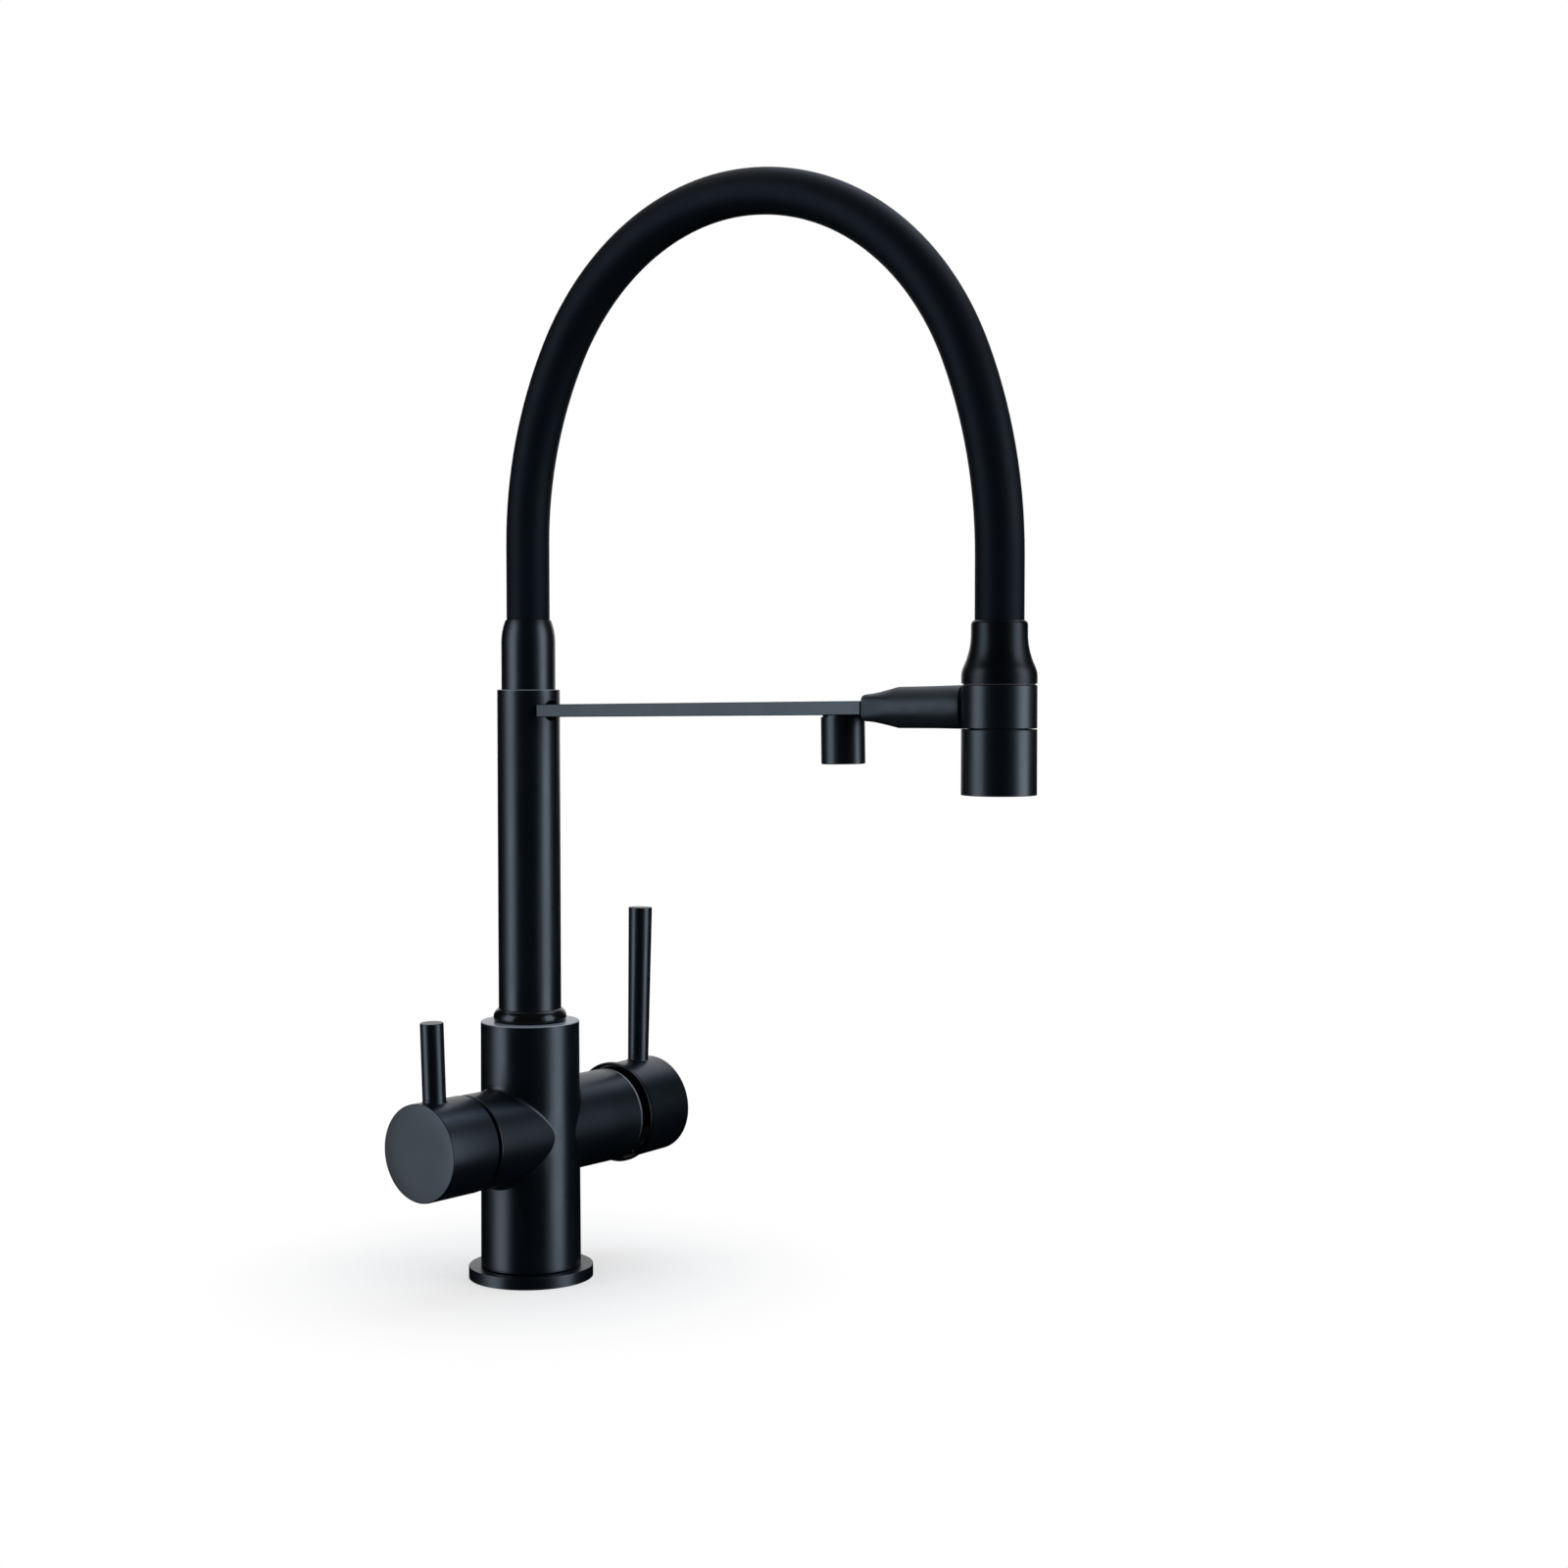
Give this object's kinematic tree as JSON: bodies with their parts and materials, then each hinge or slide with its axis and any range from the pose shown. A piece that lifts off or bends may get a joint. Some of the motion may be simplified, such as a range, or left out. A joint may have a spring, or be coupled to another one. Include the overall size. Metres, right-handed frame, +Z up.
{
  "type": "kitchen mixer tap",
  "caption": "Matte black single-hole kitchen mixer tap with a bending hose spout, a docked pull-off spray head, a side mixer lever and a second lever and outlet for filtered water.",
  "frame": {"origin": "centre of the flange's underside, on the deck", "axes": "+Z up from the deck, -Y the way the spout reaches, +X towards the mixer handle (the filter knob is on the -X side)"},
  "size_m": [0.1542, 0.2927, 0.4806],
  "materials": {
    "body_paint": "satin-matte black coating on brass and steel",
    "gloss_trim": "glossy black moulded ring",
    "hose_rubber": "matte black silicone rubber",
    "seal_rubber": "matte black rubber",
    "braid": "steel-sheathed inner water hose",
    "brass": "turned brass, uncoated",
    "steel": "plain stainless steel",
    "nylon": "natural moulded plastic",
    "grey_plastic": "dark grey moulded plastic",
    "ceramic": "lapped white ceramic"
  },
  "bodies": {
    "base": {"flange": "body_paint", "flange_seal": "seal_rubber", "tap_body": "body_paint", "swivel_bush": "nylon", "lock_screw": "steel", "mixer_cartridge": "grey_plastic", "cartridge_seals": "seal_rubber", "ceramic_disc": "ceramic", "cartridge_nut": "brass", "filter_valve": "brass", "valve_seal": "seal_rubber"},
    "spout": {"swivel_spigot": "brass", "swivel_seals": "seal_rubber", "riser_tube": "body_paint", "foot_ring": "gloss_trim", "filter_pipe": "nylon", "riser_head": "brass", "riser_ferrule": "body_paint", "rubber_hose": "hose_rubber", "inner_hose": "braid", "arm": "body_paint", "filter_outlet": "body_paint", "outlet_aerator": "grey_plastic", "dock": "body_paint", "dock_magnet": "steel", "dock_pad": "seal_rubber"},
    "spray_head": {"spray_bell": "body_paint", "spray_collar": "body_paint", "dock_plate": "steel", "spray_core": "grey_plastic", "check_valve": "nylon", "journal_seal": "seal_rubber"},
    "nozzle": {"nozzle_shell": "body_paint", "diverter_disc": "nylon", "spray_face": "grey_plastic", "spray_nubs": "seal_rubber", "stream_insert": "nylon"},
    "filter_handle": {"filter_knob": "body_paint", "filter_lever": "body_paint", "valve_spindle": "brass", "knob_screw": "steel"},
    "carrier": {"mixer_carrier": "nylon", "stem_pivot_pin": "steel"},
    "mixer_handle": {"mixer_stem": "steel", "mixer_cap": "body_paint", "mixer_lever": "body_paint", "cap_screw": "steel"}
  },
  "joints": [
    {"name": "spout_swivel", "type": "hinge", "parent": "base", "child": "spout", "pos_m": [0, 0, 0.103], "axis": [0, 0, 1], "continuous": true},
    {"name": "filter_turn", "type": "hinge", "parent": "base", "child": "filter_handle", "pos_m": [-0.055, 0, 0.066], "axis": [1, 0, 0], "range_deg": [0, 90]},
    {"name": "mixer_turn", "type": "hinge", "parent": "base", "child": "carrier", "pos_m": [0.0455, 0, 0.066], "axis": [1, 0, 0], "range_deg": [-45, 45]},
    {"name": "mixer_lift", "type": "hinge", "parent": "carrier", "child": "mixer_handle", "pos_m": [0.0455, 0, 0.066], "axis": [0, 1, 0], "range_deg": [0, 22]},
    {"name": "spray_dock", "type": "slide", "parent": "spout", "child": "spray_head", "axis": [0, -1, 0], "range_m": [0, 0.04], "deforming": ["rubber_hose", "inner_hose"]},
    {"name": "spray_mode", "type": "hinge", "parent": "spray_head", "child": "nozzle", "pos_m": [0, -0.25, 0.244], "axis": [0, 0, 1], "range_deg": [0, 90]}
  ]
}
